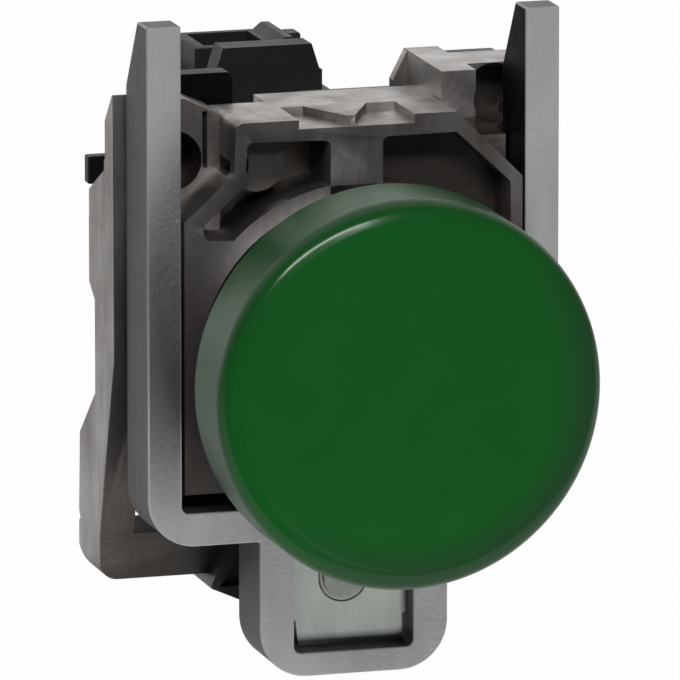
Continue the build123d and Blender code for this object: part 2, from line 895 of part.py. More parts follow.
# Light tube: clear rod through the neck, seated in the spigot
light_tube_rear = block_front + 0.6
with BuildPart() as light_tube:
    with BuildSketch(across(light_tube_front)):
        Circle(light_tube_r)
    extrude(amount=-(light_tube_rear - light_tube_front))
light_tube.part.label = "light_tube"
export_step(light_tube.part, "parts/light_tube.step")

# Circuit board
board_front = block_front + 3.5
board_rear = terminal_y - board_clear
board_low = block_low + wall + board_foot
board_high = block_top - wall - board_head
with BuildPart() as circuit_board:
    with BuildSketch(at_x(board_x - board_t)):
        Polygon(
            (board_front, board_low),
            (board_rear, board_low),
            (board_rear, board_high),
            (board_front, board_high),
            align=None,
        )
    extrude(amount=board_t)
circuit_board.part.label = "circuit_board"
export_step(circuit_board.part, "parts/circuit_board.step")

# Light source in front of the board edge: square base and round top
with BuildPart() as led:
    with BuildSketch(across(board_front - led_base_t)):
        Rectangle(2 * led_r, 2 * led_r)
    extrude(amount=-led_base_t)
    with BuildSketch(across(board_front - led_base_t - led_dome_t)):
        Circle(led_r)
    extrude(amount=-led_dome_t)
led.part.label = "led"
export_step(led.part, "parts/led.step")

# Rectifier
resistor_low = board_high - resistor_inset - resistor_l
rectifier_z = resistor_low - part_gap - rectifier_side / 2
with BuildPart() as rectifier:
    with BuildSketch(at_x(board_x)):
        with Locations((board_front + rectifier_inset + rectifier_side / 2, rectifier_z)):
            Rectangle(rectifier_side, rectifier_side)
    extrude(amount=rectifier_t)
rectifier.part.label = "rectifier"
export_step(rectifier.part, "parts/rectifier.step")

# Capacitor
with BuildPart() as capacitor:
    with BuildSketch(at_x(board_x)):
        with Locations((board_rear - capacitor_r, board_low + capacitor_foot + capacitor_r)):
            Circle(capacitor_r)
    extrude(amount=capacitor_l)
capacitor.part.label = "capacitor"
export_step(capacitor.part, "parts/capacitor.step")

# Resistors, side by side
resistor_y = board_rear - part_gap - resistor_r
with BuildPart() as resistor_upper:
    with BuildSketch(Plane.XY.offset(resistor_low)):
        with Locations((board_x + resistor_r, resistor_y - 2 * resistor_r - 0.4)):
            Circle(resistor_r)
    extrude(amount=resistor_l)
resistor_upper.part.label = "resistor_upper"
export_step(resistor_upper.part, "parts/resistor_upper.step")

with BuildPart() as resistor_lower:
    with BuildSketch(Plane.XY.offset(resistor_low)):
        with Locations((board_x + resistor_r, resistor_y)):
            Circle(resistor_r)
    extrude(amount=resistor_l)
resistor_lower.part.label = "resistor_lower"
export_step(resistor_lower.part, "parts/resistor_lower.step")

# Two terminals, each a contact plate, a wire saddle and a screw
saddle_y = terminal_y + terminal_t + saddle_gap
saddle_half = terminal_half - saddle_inset
terminal_head_y = saddle_y + saddle_t + 0.1
screw_tip_y = terminal_y - 2.2
leg_front = board_rear - 0.6
for level, z, leg_shift in (("upper", terminal_z[0], -3.0), ("lower", terminal_z[1], 3.0)):
    # Contact plate with a square nut in front and a leg to the board
    with BuildPart() as terminal_plate:
        with BuildSketch(across(terminal_y)):
            with Locations((terminal_x, z)):
                Rectangle(2 * terminal_half, 2 * terminal_half)
        extrude(amount=-terminal_t)
        with BuildSketch(across(terminal_y - nut_t)):
            with Locations((terminal_x, z)):
                Rectangle(2 * (terminal_screw_r + thread_wall), 2 * (terminal_screw_r + thread_wall))
        extrude(amount=-nut_t)
        with BuildSketch(across(leg_front)):
            with Locations((board_x + 0.3, z + leg_shift)):
                Rectangle(0.6, 0.8)
        extrude(amount=-(terminal_y - leg_front))
        with BuildSketch(across(terminal_y - 2 * nut_t)):
            with Locations((terminal_x, z)):
                Circle(terminal_screw_r + running_gap)
        extrude(amount=-4 * nut_t, mode=Mode.SUBTRACT)
    terminal_plate.part.label = "terminal_plate_" + level
    export_step(terminal_plate.part, "parts/terminal_plate_" + level + ".step")

    # Square wire saddle on the terminal screw
    with BuildPart() as saddle:
        with BuildSketch(across(saddle_y)):
            with Locations((terminal_x, z)):
                Rectangle(2 * saddle_half, 2 * saddle_half)
                Circle(terminal_screw_r + running_gap, mode=Mode.SUBTRACT)
        extrude(amount=-saddle_t)
    saddle.part.label = "saddle_" + level
    export_step(saddle.part, "parts/saddle_" + level + ".step")

    # Terminal screw: shank through saddle and plate, head with a cross recess
    with BuildPart() as terminal_screw:
        with BuildSketch(across(screw_tip_y)):
            with Locations((terminal_x, z)):
                Circle(terminal_screw_r)
        extrude(amount=-(terminal_head_y - screw_tip_y))
        with BuildSketch(across(terminal_head_y)):
            with Locations((terminal_x, z)):
                Circle(terminal_head_r)
        extrude(amount=-terminal_head_t)
        with BuildSketch(across(terminal_head_y + terminal_head_t / 2)):
            with Locations((terminal_x, z)):
                Rectangle(recess_w, recess_span)
                Rectangle(recess_span, recess_w)
        extrude(amount=-terminal_head_t, mode=Mode.SUBTRACT)
    terminal_screw.part.label = "terminal_screw_" + level
    export_step(terminal_screw.part, "parts/terminal_screw_" + level + ".step")
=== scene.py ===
# %% [markdown]
# This is a panel pilot light in white studio light: a round green lens in front, a cast zinc
# collar behind the gap for the panel, a grey clamp fork around it, and a narrow dark block with
# the electrics at the back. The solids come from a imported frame. This script gives them their
# finishes and makes the pieces whose look needs more than the plain solids have.

import json
import math

import bmesh
import bpy
import numpy as np
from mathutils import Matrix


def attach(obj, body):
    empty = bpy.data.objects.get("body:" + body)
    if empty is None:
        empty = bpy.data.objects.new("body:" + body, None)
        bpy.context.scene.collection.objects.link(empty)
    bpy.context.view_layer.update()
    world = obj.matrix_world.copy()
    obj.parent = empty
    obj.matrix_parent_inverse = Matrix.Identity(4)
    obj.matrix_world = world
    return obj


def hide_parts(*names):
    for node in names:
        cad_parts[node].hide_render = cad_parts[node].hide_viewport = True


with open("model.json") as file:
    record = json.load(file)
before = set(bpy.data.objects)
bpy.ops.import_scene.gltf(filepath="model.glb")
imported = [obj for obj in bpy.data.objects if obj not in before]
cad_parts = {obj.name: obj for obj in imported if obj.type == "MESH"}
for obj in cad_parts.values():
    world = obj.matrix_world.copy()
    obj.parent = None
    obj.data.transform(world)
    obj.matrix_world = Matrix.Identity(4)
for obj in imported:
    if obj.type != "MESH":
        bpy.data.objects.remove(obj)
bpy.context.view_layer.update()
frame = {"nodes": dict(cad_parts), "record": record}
nodes = frame["nodes"]
bodies = frame["record"]["behaviour"]["bodies"]
body_of = {name: body for body, names in bodies.items() for name in names}
MM = 0.001

# %% [markdown]
# Every new surface below is a grid of points: two numbers go in and one point comes out. The first
# number runs along a profile, the second round the piece. A primitive could be pushed into shape
# by hand instead, but a formula keeps every radius true and the mesh even. numpy works out all
# points at once, and from_pydata hands them to Blender. A closed grid joins its last column to its
# first, so that no seam is left open.


# %% Grid to mesh
SHARP_EDGE = math.radians(35)


def make_outward(obj):
    """Joins doubled points and turns every face of a closed mesh outwards."""
    work = bmesh.new()
    work.from_mesh(obj.data)
    bmesh.ops.remove_doubles(work, verts=work.verts, dist=1e-7)
    bmesh.ops.recalc_face_normals(work, faces=work.faces)
    work.to_mesh(obj.data)
    work.free()


def smooth(obj):
    """Smooth shading, with edges steeper than the sharp angle left sharp."""
    obj.data.shade_smooth()
    obj.data.set_sharp_from_angle(angle=SHARP_EDGE)


def new_object(name, points, faces):
    """A smooth mesh object from points in metres and faces that are lists of point numbers."""
    mesh = bpy.data.meshes.new(name)
    mesh.from_pydata(points.tolist(), [], faces)
    mesh.validate()
    obj = bpy.data.objects.new(name, mesh)
    bpy.context.scene.collection.objects.link(obj)
    make_outward(obj)
    smooth(obj)
    return obj


def grid_mesh(name, points, closed=False, capped=False):
    """points has the shape (rows, columns, 3). Neighbours in the grid become four-sided faces. A
    closed grid joins its last column to its first. A capped one also gets a fan of triangles from
    the middle of its first row, and one from the middle of its last."""
    rows, cols = points.shape[:2]
    spans = cols if closed else cols - 1
    row, col = np.meshgrid(np.arange(rows - 1), np.arange(spans), indexing="ij")
    here, beside = row * cols + col, row * cols + (col + 1) % cols
    faces = np.stack([here, beside, beside + cols, here + cols], -1).reshape(-1, 4).tolist()
    verts = points.reshape(-1, 3)
    for end_row in (0, rows - 1) if capped else ():
        ring = end_row * cols + np.arange(cols)
        after = np.roll(ring, -1)
        pair = (ring, after) if end_row else (after, ring)
        faces += np.stack([np.full(cols, len(verts)), *pair], -1).tolist()
        verts = np.vstack([verts, points[end_row].mean(axis=0)[None]])
    return new_object(name, verts, faces)


print("sharp from degrees:", math.degrees(SHARP_EDGE))

# %% [markdown]
# The lens, the resistors and the capacitor are round, so each is a profile carried round an axis.
# The Screw modifier could do that too, but here the same few lines also make the threads. The
# profile is a list of radius and depth pairs, and each corner is replaced by a short curve, since
# moulded and rolled edges are never sharp.


# %% Profiles and turned pieces
def rounded_profile(corners, radii, steps=6):
    """corners are (radius, depth) pairs of an open line. Each inner corner becomes the curve
    (1 - t)^2 start + 2 t (1 - t) corner + t^2 end, and start and end lie one rounding length
    away from the corner."""
    points = [np.array(corners[0], float)]
    for before, corner, after, r in zip(corners, corners[1:], corners[2:], radii):
        a, b, c = (np.array(p, float) for p in (before, corner, after))
        r = min(r, np.linalg.norm(a - b) * 0.49, np.linalg.norm(c - b) * 0.49)
        start = b + (a - b) / np.linalg.norm(a - b) * r
        end = b + (c - b) / np.linalg.norm(c - b) * r
        t = np.linspace(0, 1, steps)[:, None]
        points.extend((1 - t) ** 2 * start + 2 * t * (1 - t) * b + t**2 * end)
    points.append(np.array(corners[-1], float))
    return np.array(points)


def round_axis(radius, depth, angle, centre, along=1):
    """point = centre + radius (cos a, sin a) across the axis, and depth along it. Millimetres go in
    and metres come out. along is the axis: 0 for x, 1 for y, 2 for z."""
    parts = [centre[0] + radius * np.cos(angle), centre[1] + radius * np.sin(angle)]
    parts.insert(along, np.broadcast_to(depth, parts[0].shape))
    return np.stack(parts, -1) * MM


def turned(name, profile, around, centre=(0, 0), start=0.0, along=1):
    """The profile (radius, depth) carried round the axis, with its depth counted from the start.
    Both ends of the profile lie on the axis and close in one point."""
    angle = np.linspace(0, 2 * np.pi, around, endpoint=False)
    points = round_axis(profile[:, :1], profile[:, 1:] + start, angle, centre, along)
    return grid_mesh(name, points, closed=True)


print("points of one rounded corner:", len(rounded_profile([(0, 0), (1, 0), (1, 1)], [0.2])))

# %% [markdown]
# Each new piece rides on the body of the solid that it stands for, so that it moves with that
# body's joint. Some pieces replace their solid, and others only lie on it.


# %% Places in the frame
def placed(obj, name):
    """Puts a new piece on the body of the solid that it stands for."""
    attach(obj, body_of[name])
    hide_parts(name)
    return obj


def added(obj, name):
    """Puts a new piece on the body of a solid that stays."""
    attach(obj, body_of[name])
    return obj


print("moving bodies:", sorted(set(body_of.values()) - {"root"}))

# %% [markdown]
# The lens is a moulded cap. Its front is flat almost to the rim, then a bevel and a small rounding
# lead into the rim, and the skirt runs straight back. The rounding of the rim catches a thin arc of
# light, and the profile has more points there, so that the arc is even.


# %% Lens
def lens_profile():
    """Outside first, from the axis to the skirt's rear, then inside back to the axis."""
    outer = [(0, -8.2), (12.3, -8.2), (13.3, -7.82), (13.8, -7.1), (13.8, -1.35)]
    inner = [(13.62, -1.35), (12.6, -1.35), (12.6, -6.6), (0, -6.6)]
    outside = rounded_profile(outer, [0.35, 0.45, 0.45], 10)
    inside = rounded_profile(inner, [0.2, 0.3], 5)
    return np.vstack([outside, inside])


lens = placed(turned("lens_piece", lens_profile(), 256), "lens")
print("lens faces:", len(lens.data.polygons))

# %% [markdown]
# Cast and moulded pieces keep their solids' shape, but a real edge is never razor sharp: a thin
# line of light runs along it. The solids could be remodelled with fillets, but a Bevel modifier
# does it for all edges at once. It needs a clean mesh, so in a copy of each solid the loose
# triangles are joined and the flat faces made whole. On the two castings the bevel faces take the
# second material slot, so that the worn edge has its own finish.


# %% Softened copies of solids
FLAT = math.radians(0.5)


def softened(name, width, segments=2, worn=False):
    """A copy of a solid's mesh with doubled points joined and flat faces merged, with its edges
    rounded by the width in millimetres. It rides on the same body and replaces the solid."""
    mesh = nodes[name].data.copy()
    work = bmesh.new()
    work.from_mesh(mesh)
    bmesh.ops.remove_doubles(work, verts=work.verts, dist=2e-6)
    bmesh.ops.dissolve_limit(work, angle_limit=FLAT, verts=work.verts, edges=work.edges)
    work.to_mesh(mesh)
    work.free()
    mesh.materials.clear()
    obj = bpy.data.objects.new(name + "_piece", mesh)
    bpy.context.scene.collection.objects.link(obj)
    smooth(obj)
    bevel = obj.modifiers.new("rounded edges", "BEVEL")
    bevel.width = width * MM
    bevel.segments = segments
    bevel.limit_method = "ANGLE"
    bevel.angle_limit = SHARP_EDGE
    bevel.use_clamp_overlap = True
    bevel.harden_normals = True
    if worn:
        bevel.material = 1
    return placed(obj, name)


print("faces are joined below degrees:", math.degrees(FLAT))

# %% [markdown]
# Each piece has its own width of rounding in millimetres, and the number of steps across it. Rubber
# and clear plastic are rounder than stamped steel, and what shows close up has one step more.

# %% Softened pieces
edge_of = {
    "clamp_fork": (0.14, 3),
    "collar_body": (0.16, 2),
    "thrust_plate": (0.08, 2),
    "lock_lever": (0.12, 3),
    "lock_ring": (0.08, 2),
    "block_carrier": (0.15, 2),
    "block_housing": (0.15, 2),
    "block_cover": (0.15, 2),
    "bezel_body": (0.1, 2),
    "panel_gasket": (0.18, 3),
    "lens_seal": (0.2, 3),
    "diffuser": (0.12, 2),
    "light_tube": (0.25, 3),
    "terminal_plate_upper": (0.06, 2),
    "terminal_plate_lower": (0.06, 2),
    "saddle_upper": (0.06, 2),
    "saddle_lower": (0.06, 2),
    "circuit_board": (0.06, 2),
    "rectifier": (0.06, 2),
}
castings = ("clamp_fork", "collar_body")
pieces = {name: softened(name, *edge, worn=name in castings) for name, edge in edge_of.items()}
clamp_fork, collar, carrier = (pieces[n] for n in ("clamp_fork", "collar_body", "block_carrier"))
print("softened:", len(pieces))

# %% [markdown]
# The right ear of the carrier stands behind the collar, and only a hair of it peeps over the
# collar's top. In the solid it is a little too high. Its top points could be moved by hand in edit
# mode. Here a mask picks them by their place, and foreach_set hands all points back to the mesh.


# %% Moved points
def read_points(obj):
    """All points of a mesh in millimetres, one row each."""
    points = np.empty(len(obj.data.vertices) * 3)
    obj.data.vertices.foreach_get("co", points)
    return points.reshape(-1, 3) / MM


def write_points(obj, points):
    """Gives the mesh its points back, from millimetres."""
    obj.data.vertices.foreach_set("co", (points * MM).ravel())
    obj.data.update()


ear_foot_z, ear_left_x, ear_drop = 18.4, 9, 0.85
points = read_points(carrier)
on_ear = (points[:, 2] > ear_foot_z) & (points[:, 0] > ear_left_x)
points[on_ear, 2] -= ear_drop
write_points(carrier, points)
print("points lowered on the ear:", int(on_ear.sum()))

# %% [markdown]
# Four small plates finish the collar. One is the flat floor of the right pocket, whose lower side
# follows the round boss, so that part of its outline is an arc and the rest is straight. One is the
# upper rear corner of the left cheek, seen from the side. A disc closes the blind hole of the left
# ear, and a lip closes the slit between the collar and the fork. Each is an outline with a
# thickness, which is quicker and cleaner than cutting the casting's mesh.


# %% Flat plates with an outline
def prism(name, outline, start, end, along=1):
    """The outline is carried from start to end along one axis. Two rows of points make the rim, and
    one many-sided face closes each end."""
    n = len(outline)
    k = np.arange(n)
    rows = [np.insert(outline, along, place, axis=1) for place in (start, end)]
    rim = np.stack([k, (k + 1) % n, (k + 1) % n + n, k + n], -1)
    ends = [k.tolist(), (k[::-1] + n).tolist()]
    return new_object(name, np.vstack(rows) * MM, rim.tolist() + ends)


def arc(centre, radius, angle):
    """point(a) = centre + radius (cos a, sin a), for an array of angles."""
    return np.array(centre) + radius * np.stack([np.cos(angle), np.sin(angle)], -1)


boss_radius, ear_hole, ear_hole_radius = 12.2, (-12.06, 13.8), 2.12
boss_arc = arc((0, 0), boss_radius, np.radians(np.linspace(20, 78, 40)))
pocket_outline = np.vstack([boss_arc, [(2.3, 15.6), (7.5, 15.65), (11.55, 11.8)]])
cheek_outline = np.array([(15.0, 8.0), (15.0, 12.6), (17.9, 11.1), (19.4, 10.3), (19.4, 8.0)])
full_turn = np.linspace(0, 2 * np.pi, 48, endpoint=False)
ear_outline = arc(ear_hole, ear_hole_radius, full_turn)
lip_outline = np.array([(-12.3, -8.8), (-4.0, -8.8), (-4.0, -10.9), (-12.3, -10.9)])
plates = [
    prism("pocket_floor", pocket_outline, 10.42, 11.9),
    prism("cheek_corner", cheek_outline, -15.68, -15.0, along=0),
    prism("ear_hole_floor", ear_outline, 14.6, 14.98),
    prism("collar_lip", lip_outline, 12.2, 12.9),
]
for plate in plates:
    added(plate, "collar_body")
print("plates:", len(plates))

# %% [markdown]
# A screw thread is a helix. A rolled profile with the Screw modifier could make it, but it has to
# fade out at both ends. Here the shank of the screw's copy is made thinner, and a sleeve with the
# thread lies round it: at each angle and depth the radius follows a row of ridges, and the ridges
# step back by one pitch per turn.


# %% Screws
def thread(name, centre, front, rear, root, crest, pitch, around=64):
    """radius(y, a) = root + (crest - root) * run_out(y) * ridge(y / pitch - a / turn), where ridge
    is a triangle wave that rises and falls once per pitch, and run_out grows from 0 to 1 within one
    pitch of either end."""
    depth = np.linspace(front, rear, int((rear - front) / pitch * 12) + 1)[:, None]
    angle = np.linspace(0, 2 * np.pi, around, endpoint=False)[None, :]
    phase = (depth / pitch - angle / (2 * np.pi)) % 1.0
    ridge = np.clip(1.6 * (1 - np.abs(2 * phase - 1)) - 0.3, 0, 1)
    run_out = np.clip(np.minimum(depth - front, rear - depth) / pitch, 0, 1)
    radius = root + (crest - root) * run_out * ridge
    points = round_axis(radius, depth, angle, centre)
    return grid_mesh(name, points, closed=True, capped=True)


def screw_with_thread(name, centre, shank, front, rear, pitch):
    """A softened copy of the screw whose shank is turned down to 0.83 of its radius, and the thread
    round it, whose root is at 0.84."""
    obj = softened(name, 0.1)
    points = read_points(obj)
    away = points[:, [0, 2]] - centre
    on_shank = np.abs(np.hypot(*away.T) - shank) < 0.02
    points[np.ix_(on_shank, [0, 2])] = centre + away[on_shank] * 0.83
    write_points(obj, points)
    ridges = thread(name + "_thread", centre, front, rear, shank * 0.84, shank, pitch)
    return obj, added(ridges, name)


# Centre (x, z), radius of the shank, front and rear end of the thread, and pitch.
thread_of = {
    "clamp_screw": ((-0.3, -16.25), 2.5, 9.8, 27.5, 0.8),
    "terminal_screw_upper": ((0.0, 9.4), 1.75, 34.3, 38.8, 0.6),
    "terminal_screw_lower": ((0.0, -7.3), 1.75, 34.3, 38.8, 0.6),
}
screws = {name: screw_with_thread(name, *values) for name, values in thread_of.items()}
print("screws:", len(screws))

# %% [markdown]
# The parts on the board are small turned bodies. A resistor is a thin rod with thicker ends, and
# stands upright, so it is turned round z. The capacitor is a can with a rolled groove near its
# foot, and lies across, so it is turned round x.

# %% Parts on the board
rod = [(0, 0), (1.1, 0), (1.1, 1.5), (0.95, 1.9), (0.95, 4.1), (1.1, 4.5), (1.1, 6), (0, 6)]
rod = rounded_profile(rod, [0.35] * 6)
can = [(0, 0), (2.4, 0), (2.4, 0.8), (2.2, 1.1), (2.4, 1.4), (2.4, 4.6), (0, 4.6)]
can = rounded_profile(can, [0.25, 0.2, 0.2, 0.2, 0.35])
resistors = [
    placed(turned("resistor_upper_piece", rod, 48, (-0.5, 29.0), 3.6, along=2), "resistor_upper"),
    placed(turned("resistor_lower_piece", rod, 48, (-0.5, 31.6), 3.6, along=2), "resistor_lower"),
]
capacitor = placed(turned("capacitor_piece", can, 48, (31.2, -6.6), -1.6, along=0), "capacitor")
print("capacitor faces:", len(capacitor.data.polygons))

# %% [markdown]
# Materials are built from shader nodes. The effects that several materials share are node groups:
# fine cast grain with small pores, and long soft streaks. An image could be wrapped round a piece
# instead, but noise needs no unwrapping and shows no seams. Each group reads Object coordinates,
# which are metres here, so a scale of 1000 repeats about once a millimetre.


# %% Node helpers
def new_group(name, inputs, masks):
    """A shader node group with named sockets. inputs are (name, type, default), and masks are the
    names of its outputs."""
    group = bpy.data.node_groups.new(name, "ShaderNodeTree")
    for label, kind, default in inputs:
        socket = group.interface.new_socket(name=label, in_out="INPUT", socket_type=kind)
        socket.default_value = default
    for label in masks:
        group.interface.new_socket(name=label, in_out="OUTPUT", socket_type="NodeSocketFloat")
    return group, group.nodes.new("NodeGroupInput"), group.nodes.new("NodeGroupOutput")


def object_place(tree):
    """The socket that gives each point's place on the object, in metres."""
    return tree.nodes.new("ShaderNodeTexCoord").outputs["Object"]


def feed(tree, socket, value):
    """Links the value if it is a socket, and writes it into the socket if it is a number."""
    if hasattr(value, "links"):
        tree.links.new(value, socket)
    else:
        socket.default_value = value


def noise(tree, vector, scale, detail, rough):
    """A noise texture fed by a vector socket and a scale that is a number or a socket."""
    node = tree.nodes.new("ShaderNodeTexNoise")
    node.inputs["Detail"].default_value = detail
    node.inputs["Roughness"].default_value = rough
    tree.links.new(vector, node.inputs["Vector"])
    feed(tree, node.inputs["Scale"], scale)
    return node.outputs["Fac"]


def math_node(tree, kind, *values):
    """A Math node whose inputs are numbers or sockets."""
    node = tree.nodes.new("ShaderNodeMath")
    node.operation = kind
    for socket, value in zip(node.inputs, values):
        feed(tree, socket, value)
    return node.outputs[0]


def product(tree, first, *others):
    """All values multiplied, one Math node after the other."""
    for other in others:
        first = math_node(tree, "MULTIPLY", first, other)
    return first


print("groups so far:", len(bpy.data.node_groups))

# %% [markdown]
# Cast metal has a skin like fine orange peel with a few pores, and moulded plastic has the same
# skin on a smaller scale. Fine noise makes the skin, broad noise the drift in colour, and the
# centres of a Voronoi pattern are the pores.

# %% Cast grain group
grain_group, given, result = new_group(
    "cast grain",
    [("Scale", "NodeSocketFloat", 2500.0), ("Pores", "NodeSocketFloat", 0.3)],
    ["Height", "Mask"],
)
place = object_place(grain_group)
fine = noise(grain_group, place, given.outputs["Scale"], 6.0, 0.6)
broad = noise(grain_group, place, 420.0, 3.0, 0.5)
cells = grain_group.nodes.new("ShaderNodeTexVoronoi")
cells.feature = "F1"
grain_group.links.new(place, cells.inputs["Vector"])
cells.inputs["Scale"].default_value = 1500.0
pit = math_node(grain_group, "LESS_THAN", cells.outputs["Distance"], 0.16)
pits = product(grain_group, pit, given.outputs["Pores"])
skin_height = math_node(grain_group, "ADD", fine, product(grain_group, broad, 0.6))
pitted = math_node(grain_group, "SUBTRACT", skin_height, pits)
grain_group.links.new(pitted, result.inputs["Height"])
grain_group.links.new(broad, result.inputs["Mask"])
print("group:", grain_group.name)

# %% [markdown]
# Handled and tumbled metal has soft streaks, and stamped or turned metal has fine lines. Both are
# noise on a place that is squeezed along one axis, which draws the noise out along it. A few broad
# patches keep the streaks from looking even.

# %% Streak group
streak_group, given, result = new_group(
    "long streaks",
    [("Scale", "NodeSocketFloat", 260.0), ("Stretch", "NodeSocketVector", (1.0, 1.0, 0.18))],
    ["Mask"],
)
place = object_place(streak_group)
stretch = streak_group.nodes.new("ShaderNodeVectorMath")
stretch.operation = "MULTIPLY"
streak_group.links.new(place, stretch.inputs[0])
streak_group.links.new(given.outputs["Stretch"], stretch.inputs[1])
lines = noise(streak_group, stretch.outputs[0], given.outputs["Scale"], 8.0, 0.62)
patches = noise(streak_group, place, 150.0, 3.0, 0.5)
lines, patches = product(streak_group, lines, 0.6), product(streak_group, patches, 0.4)
streak_group.links.new(math_node(streak_group, "ADD", lines, patches), result.inputs["Mask"])
print("group:", streak_group.name)

# %% [markdown]
# Every material is a Principled shader. What is the same all over a surface is written on the
# shader's own sockets, and what changes over it comes in through links from a mask. These helpers
# turn a mask into a colour, a roughness or a bump.


# %% Material helpers
def new_material(name, **values):
    """A Principled material with constants set straight on the shader's sockets."""
    mat = bpy.data.materials.new(name)
    mat.use_nodes = True
    shader = mat.node_tree.nodes["Principled BSDF"]
    for key, value in values.items():
        shader.inputs[key.replace("_", " ")].default_value = value
    return mat, mat.node_tree, shader


def use_group(tree, group, **values):
    """Places a node group in a material with its own values."""
    node = tree.nodes.new("ShaderNodeGroup")
    node.node_tree = group
    for key, value in values.items():
        node.inputs[key].default_value = value
    return node.outputs


def ramp(tree, mask, stops):
    """A colour ramp fed by a mask. stops are (position, colour)."""
    node = tree.nodes.new("ShaderNodeValToRGB")
    tree.links.new(mask, node.inputs["Fac"])
    elements = node.color_ramp.elements
    for i, (position, colour) in enumerate(stops):
        element = elements[i] if i < 2 else elements.new(position)
        element.position = position
        element.color = (*colour, 1.0)
    return node.outputs["Color"]


def toward_colour(tree, mask, colour, goal):
    """The colour of a socket where the mask is 0, and the goal where it is 1."""
    node = tree.nodes.new("ShaderNodeMix")
    node.data_type = "RGBA"
    node.inputs["B"].default_value = (*goal, 1.0)
    tree.links.new(mask, node.inputs["Factor"])
    tree.links.new(colour, node.inputs["A"])
    return node.outputs["Result"]


def bump(tree, shader, height, strength, distance):
    """Feeds the shader's Normal from a height mask."""
    node = tree.nodes.new("ShaderNodeBump")
    node.inputs["Strength"].default_value = strength
    node.inputs["Distance"].default_value = distance
    tree.links.new(height, node.inputs["Height"])
    tree.links.new(node.outputs["Normal"], shader.inputs["Normal"])


def spread(tree, mask, low, high):
    """Maps a mask from 0.3 to 0.7, where noise has most of its values, onto a range."""
    node = tree.nodes.new("ShaderNodeMapRange")
    node.inputs["From Min"].default_value = 0.3
    node.inputs["From Max"].default_value = 0.7
    node.inputs["To Min"].default_value = low
    node.inputs["To Max"].default_value = high
    tree.links.new(mask, node.inputs["Value"])
    return node.outputs["Result"]


def fade(tree, value, start, end):
    """0 before the start, 1 after the end, both in metres, with a soft step between them."""
    node = tree.nodes.new("ShaderNodeMapRange")
    node.interpolation_type = "SMOOTHSTEP"
    node.inputs["From Min"].default_value = start
    node.inputs["From Max"].default_value = end
    tree.links.new(value, node.inputs["Value"])
    return node.outputs["Result"]


print("groups so far:", [group.name for group in bpy.data.node_groups])

# %% [markdown]
# Shade is painted into the castings where little light reaches: the pockets of the collar, the
# holes in its ears and the middle of the fork's left leg, which the lens shades. It could be
# painted face by face, but painted shade has soft borders that don't follow the faces. This group
# compares the Object coordinates with those places, and puts out a mask for each casting that is 1
# there and 0 elsewhere. The lower front of the collar gets a part of the painted shade.

# %% Painted shade group
painted_shade_group, _, result = new_group("deep places", [], ["Collar", "Fork"])
axes = painted_shade_group.nodes.new("ShaderNodeSeparateXYZ")
painted_shade_group.links.new(object_place(painted_shade_group), axes.inputs["Vector"])
axes = axes.outputs


def region(*limits):
    """The product of soft steps. A limit is an axis and two places on it, in metres: the mask is 0
    before the first place and 1 after the second."""
    steps = [fade(painted_shade_group, axes[axis], start, end) for axis, start, end in limits]
    return product(painted_shade_group, *steps)


past_ear_rim = ("Y", 0.0106, 0.0110)
# Painted shade in the collar's pockets and in the hole of its right ear.
pockets = region(("Y", 0.0070, 0.0094), ("Z", 0.01585, 0.0156), ("X", -0.0087, -0.0083))
right_ear = region(
    past_ear_rim,
    ("X", 0.0108, 0.0112),
    ("X", 0.0147, 0.0143),
    ("Z", 0.0184, 0.0181),
    ("Z", 0.0085, 0.0095),
)
# Painted shade on the middle of the fork's left leg, where the lens shades it.
leg = region(
    ("Z", 0.017, -0.002), ("Z", -0.014, -0.003), ("X", -0.0118, -0.0124), ("Y", 0.0072, 0.0069)
)
below_middle, right_of_cheek = region(("Z", 0.011, 0.002)), region(("X", -0.01568, -0.0156))
# Painted shade at 0.8 on the collar below its middle, right of the cheek.
low = product(painted_shade_group, below_middle, 0.8, right_of_cheek)
painted_shade_group.links.new(leg, result.inputs["Fork"])
print("group:", painted_shade_group.name)

# %% [markdown]
# The hole in the left ear is round, so its mask is a distance from the hole's middle. Where masks
# overlap, the larger one holds.

# %% Round hole and the collar's mask of painted shade
flat_place = painted_shade_group.nodes.new("ShaderNodeCombineXYZ")
painted_shade_group.links.new(axes["X"], flat_place.inputs["X"])
painted_shade_group.links.new(axes["Z"], flat_place.inputs["Z"])
flat_place.inputs["Y"].default_value = 0.0
distance = painted_shade_group.nodes.new("ShaderNodeVectorMath")
distance.operation = "DISTANCE"
painted_shade_group.links.new(flat_place.outputs["Vector"], distance.inputs[0])
distance.inputs[1].default_value = (ear_hole[0] * MM, 0.0, ear_hole[1] * MM)
in_hole = fade(painted_shade_group, distance.outputs["Value"], 0.0024, 0.0021)
painted_shade = product(painted_shade_group, in_hole, region(past_ear_rim))
for other in (pockets, right_ear, low):
    painted_shade = math_node(painted_shade_group, "MAXIMUM", painted_shade, other)
painted_shade_group.links.new(painted_shade, result.inputs["Collar"])
print("nodes in", painted_shade_group.name + ":", len(painted_shade_group.nodes))
